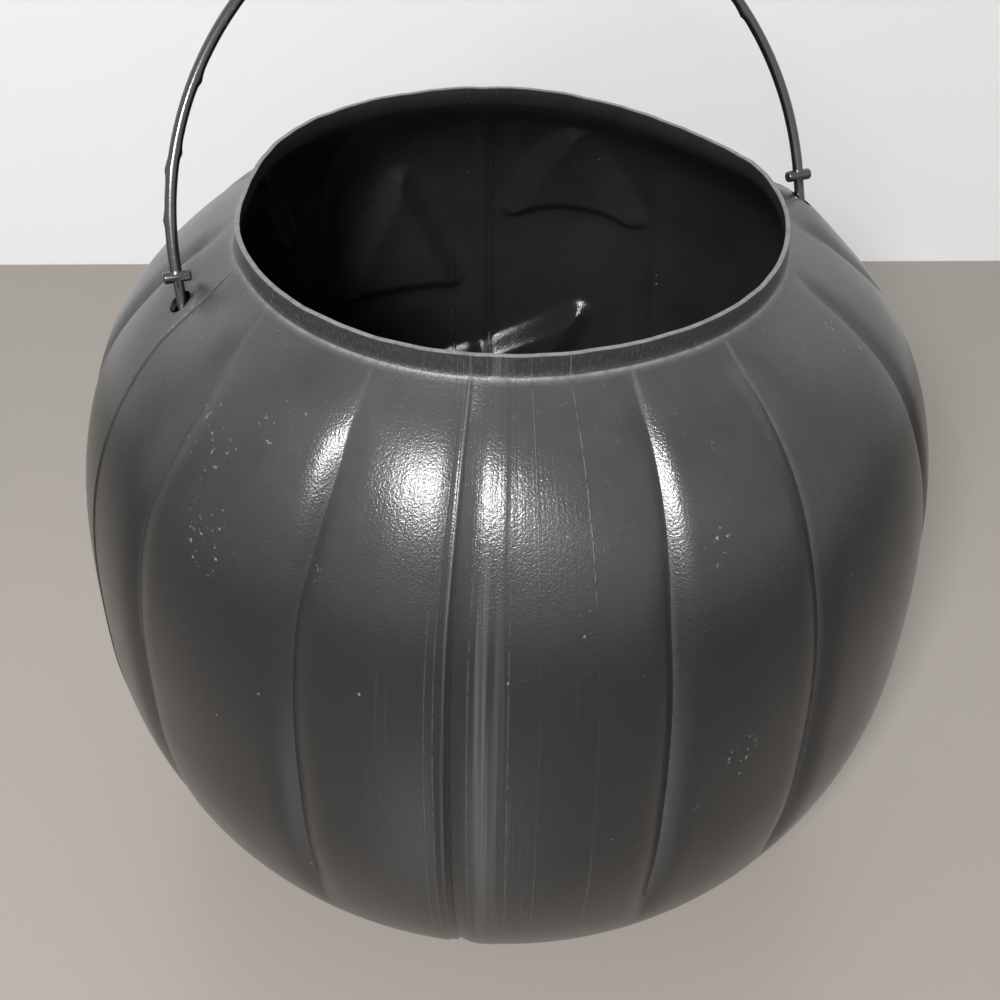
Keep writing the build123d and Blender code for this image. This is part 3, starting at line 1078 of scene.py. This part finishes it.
def bail_material(finish, groups):
    """Smooth glossy black plastic with a little dust and scuffs."""
    material, nodes, shader, vector = start_material("Bail plastic")
    grain = nodes.group(groups["grain"], vector, Scale=900.0)
    dust = nodes.group(groups["dust"], vector, Amount=0.35)
    marks = nodes.largest(dust["Specks"], nodes.product(dust["Scuffs"], 0.8))
    nodes.feed(shader["Base Color"], nodes.mix(marks, finish.bail_plastic, finish.worn_and_glint))
    film = nodes.math("MULTIPLY_ADD", dust["Film"], 0.1, BAIL_ROUGHNESS)
    nodes.feed(shader["Roughness"], nodes.math("MULTIPLY_ADD", marks, 0.35, film))
    nodes.feed(shader["Normal"], nodes.bump(grain["Height"], 0.05, 0.0004))
    shader["IOR"].default_value = BAIL_IOR
    return material


def finish_material(build):
    """Build the shell's or the bail's plastic with the node groups that they share."""
    groups = {}
    for key, name, build_group in (
        ("grain", "Moulded grain", grain_group),
        ("dust", "Dust and scuffs", dust_group),
        ("die", "Die lines", die_line_group),
    ):
        groups[key] = bpy.data.node_groups.get(name) or build_group()
    return build(bpy.context.scene.pail_finish, groups)


class PAIL_OT_shell(Operator):
    """Model the lobed shell with its collar, face and bail holes"""

    bl_idname = "pail.shell"
    bl_label = "Model the shell"

    def execute(self, context):
        sizes = context.scene.pail_shell
        shell = ShellForm(sizes)
        face = FaceForm(context.scene.pail_face)
        columns = shell.columns()
        select_nothing()
        bpy.ops.mesh.primitive_circle_add(
            vertices=len(columns), radius=shell.panel_radius, fill_type="TRIFAN", location=(0, 0, 0)
        )
        piece = name_active("lobed_shell")
        points = points_of(piece)
        points[:, 2] += sizes.push_up_height
        move_points(piece, points)
        extrude_rows(piece, [(shell.panel_radius, sizes.push_up_height)] + shell.rows())
        crowd_columns(piece, columns, column_leans(columns))
        refine_face(piece, face)
        apply_modifier(piece, "SOLIDIFY", thickness=sizes.wall, offset=-1, use_rim=True)
        shape_shell(piece, shell, face)
        punch_holes(piece, shell)
        select_only(piece)
        bpy.ops.object.shade_smooth_by_angle(angle=radians(SHELL_SMOOTH_DEGREES))
        piece.data.materials.append(finish_material(shell_material))
        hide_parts("pail_shell")
        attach(piece, "pail")
        return {"FINISHED"}


def add_bar(bail, name, radius, length, place, turn):
    """Add a round bar with rounded ends, along its own direction."""
    select_nothing()
    bpy.ops.mesh.primitive_cylinder_add(
        vertices=BAR_SIDES, radius=radius, depth=length, location=place, rotation=turn
    )
    bar = name_active(name)
    settle(bar)
    select_edges(bar, lambda edge: any(len(face.verts) > 4 for face in edge.link_faces))
    bpy.ops.mesh.bevel(offset=bail.bar_round, segments=3, affect="EDGES")
    bpy.ops.object.mode_set(mode="OBJECT")
    return bar


class PAIL_OT_bail(Operator):
    """Model the bail with its arch, cross bars and stems"""

    bl_idname = "pail.bail"
    bl_label = "Model the bail"

    def execute(self, context):
        bail = context.scene.pail_bail
        up = Vector((0, sin(bail.lean), cos(bail.lean)))
        out = Vector((0, -cos(bail.lean), sin(bail.lean)))
        reach = BAIL_HIGH.x - bail.bar_length / 2
        rise = BAIL_HIGH.z - bail.rod_radius - SWING_CENTRE.z
        bar_offset = rise / cos(bail.lean) - bail.arch_rise
        arch_radius = (reach ** 2 + bail.arch_rise ** 2) / (2 * bail.arch_rise)
        centre = SWING_CENTRE + up * (bar_offset + bail.arch_rise - arch_radius)
        below = arch_radius - bail.arch_rise
        first_turn = atan2(below, reach)
        sweep = pi - 2 * first_turn
        foot = SWING_CENTRE + Vector((-reach, 0, 0)) + up * bar_offset
        tangent = (Vector((1, 0, 0)) * below + up * reach).normalized()
        select_nothing()
        bpy.ops.mesh.primitive_circle_add(
            vertices=bail.rod_sides,
            radius=bail.rod_radius,
            location=foot,
            rotation=tangent.to_track_quat("Z", "Y").to_euler(),
        )
        rod = name_active("swinging_bail")
        settle(rod)
        bpy.ops.object.mode_set(mode="EDIT")
        bpy.ops.mesh.select_all(action="SELECT")
        bpy.ops.mesh.spin(steps=bail.rod_steps, angle=sweep, center=centre, axis=out)
        select_edges(rod, lambda edge: edge.is_boundary)
        bpy.ops.mesh.edge_face_add()
        leave_edit()
        self.raise_flash(rod, bail, centre, up, out, arch_radius)
        along = Vector((1, 0, 0)).to_track_quat("Z", "Y").to_euler()
        upright = up.to_track_quat("Z", "Y").to_euler()
        for side in (-1, 1):
            pivot = SWING_CENTRE + Vector((side * reach, 0, 0))
            bars = [add_bar(bail, "stem", bail.stem_radius, 2 * bar_offset, pivot, upright)]
            for way in (-1, 1):
                place = pivot + up * (way * bar_offset)
                bar = add_bar(bail, "cross_bar", bail.bar_radius, bail.bar_length, place, along)
                bars.append(bar)
            for bar in bars:
                apply_modifier(rod, "BOOLEAN", object=bar, operation="UNION", solver="EXACT")
                bpy.data.objects.remove(bar)
        select_only(rod)
        bpy.ops.object.shade_smooth_by_angle(angle=radians(BAIL_SMOOTH_DEGREES))
        rod.data.materials.append(finish_material(bail_material))
        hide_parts("bail")
        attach(rod, "bail")
        return {"FINISHED"}

    def raise_flash(self, rod, bail, centre, up, out, arch_radius):
        """Raise the line of flash along the rod and the nubs left on it."""
        points = points_of(rod)
        local = points - np.array(centre)
        across = local @ np.array(out)
        high = local @ np.array(up)
        radius = np.hypot(local[:, 0], high)
        turn = np.arctan2(high, local[:, 0])
        ring_x, ring_u = np.cos(turn), np.sin(turn)
        inward = radius - arch_radius
        middle = np.abs(across) < bail.rod_radius * ROD_FLASH_REACH
        rise = np.where(middle, bail.flash_height, 0.0)
        for degrees, length, way in NUBS:
            near = np.exp(-((turn - radians(degrees)) * arch_radius / (length * MILLIMETRE)) ** 2)
            side = np.clip(way * inward / bail.rod_radius, 0, 1) ** 3
            rise = rise + bail.nub_height * near * side
        scale = rise / np.maximum(np.hypot(inward, across), bail.rod_radius / 9)
        move = inward * scale
        shift = np.outer(ring_x * move, (1, 0, 0)) + np.outer(ring_u * move, up)
        move_points(rod, points + (shift + np.outer(across * scale, out)))


def stage_material(name, paint, rough, gloss, glow=0.0):
    """Paint with a faint unevenness, and one that glows to the camera is clear from behind."""
    material, nodes, shader, vector = start_material(name)
    cloud = nodes.noise(vector, 6.0, 3.0)["Fac"]
    deeper = [PAINT_SHADE * part for part in paint]
    nodes.feed(shader["Base Color"], nodes.mix(cloud, deeper, paint))
    shader["Roughness"].default_value = rough
    shader["Specular IOR Level"].default_value = gloss
    if glow > 0:
        shader["Emission Color"].default_value = (*paint, 1.0)
        height = nodes.ramp(nodes.split(vector)["Z"], *GLOW_LEVELS)
        whiter = nodes.math("MULTIPLY_ADD", height, GLOW_RISE, glow)
        nodes.feed(shader["Emission Strength"], nodes.product(nodes.seen_directly(), whiter))
        back = nodes.add("ShaderNodeNewGeometry").outputs["Backfacing"]
        nodes.feed(shader["Alpha"], nodes.math("SUBTRACT", 1.0, back))
    return material


def add_lamp(name, offset, size, power):
    """Add a flat lamp that looks at the lit place."""
    select_nothing()
    place = LIT_PLACE + offset
    turn = (LIT_PLACE - place).to_track_quat("-Z", "Y").to_euler()
    bpy.ops.object.light_add(type="AREA", location=place, rotation=turn)
    lamp = bpy.context.object
    lamp.name = name
    lamp.data.shape = "RECTANGLE"
    lamp.data.size, lamp.data.size_y = size
    lamp.data.energy = power


class PAIL_OT_stage(Operator):
    """Set the floor, the wall behind, the lamps and the camera"""

    bl_idname = "pail.stage"
    bl_label = "Set the studio"

    def execute(self, context):
        stage = context.scene.pail_stage
        view = CAMERA_VIEW.normalized()
        ahead = Vector((view.x, view.y, 0)).normalized()
        select_nothing()
        bpy.ops.mesh.primitive_grid_add(x_subdivisions=4, y_subdivisions=4, size=stage.floor_size)
        floor = name_active("floor")
        paint = stage_material("Floor paint", stage.floor, FLOOR_ROUGHNESS, FLOOR_SPECULAR)
        floor.data.materials.append(paint)
        select_nothing()
        turn = (-ahead).to_track_quat("Z", "Y").to_euler()
        place = ahead * stage.wall_distance + Vector((0, 0, stage.floor_size / 4))
        bpy.ops.mesh.primitive_grid_add(
            x_subdivisions=4, y_subdivisions=4, size=stage.floor_size, location=place, rotation=turn
        )
        wall = name_active("wall_behind")
        settle(wall)
        paint = stage_material(
            "Wall paint", stage.wall, WALL_ROUGHNESS, WALL_SPECULAR, stage.wall_glow
        )
        wall.data.materials.append(paint)
        add_lamp("key_lamp", KEY_OFFSET, KEY_SIZE, stage.key_power)
        add_lamp("front_lamp", FRONT_OFFSET, FRONT_SIZE, stage.front_power)
        world = bpy.data.worlds.new("Studio light")
        world.use_nodes = True
        background = world.node_tree.nodes["Background"]
        background.inputs["Color"].default_value = tuple(stage.world) + (1.0,)
        nodes = NodeBuilder(world.node_tree)
        whiter = stage.backdrop_strength - stage.world_strength
        seen = nodes.seen_directly()
        strength = nodes.math("MULTIPLY_ADD", seen, whiter, stage.world_strength)
        nodes.feed(background.inputs["Strength"], strength)
        context.scene.world = world
        context.scene.view_settings.view_transform = "Standard"
        select_nothing()
        bpy.ops.object.camera_add(location=CAMERA_PLACE)
        camera = context.object
        level_turn = view.to_track_quat("-Z", "Y").to_matrix()
        camera.rotation_euler = (Matrix.Rotation(CAMERA_ROLL, 3, view) @ level_turn).to_euler()
        camera.data.lens = stage.lens
        camera.data.sensor_width = SENSOR_WIDTH
        camera.data.shift_x = CAMERA_SHIFT
        camera.data.clip_start = CAMERA_NEAR
        context.scene.camera = camera
        return {"FINISHED"}


class PAIL_PT_looks(Panel):
    """List the steps of the pail's looks"""

    bl_idname = "PAIL_PT_looks"
    bl_label = "Pumpkin pail"
    bl_space_type = "VIEW_3D"
    bl_region_type = "UI"
    bl_category = "Pail"

    def draw(self, context):
        for operator in (PAIL_OT_shell, PAIL_OT_bail, PAIL_OT_stage):
            self.layout.operator(operator.bl_idname)


PROPERTY_GROUPS = (
    ("pail_shell", PailShellSizes),
    ("pail_face", PailFaceSizes),
    ("pail_bail", PailBailSizes),
    ("pail_finish", PailFinish),
    ("pail_stage", PailStage),
)
OTHER_CLASSES = (PAIL_OT_shell, PAIL_OT_bail, PAIL_OT_stage, PAIL_PT_looks)


def register():
    for name, group in PROPERTY_GROUPS:
        bpy.utils.register_class(group)
        setattr(bpy.types.Scene, name, PointerProperty(type=group))
    for each in OTHER_CLASSES:
        bpy.utils.register_class(each)


def unregister():
    for each in reversed(OTHER_CLASSES):
        bpy.utils.unregister_class(each)
    for name, group in reversed(PROPERTY_GROUPS):
        delattr(bpy.types.Scene, name)
        bpy.utils.unregister_class(group)


def main():
    register()
    bpy.ops.pail.shell()
    bpy.ops.pail.bail()
    bpy.ops.pail.stage()


if __name__ == "__main__":
    main()
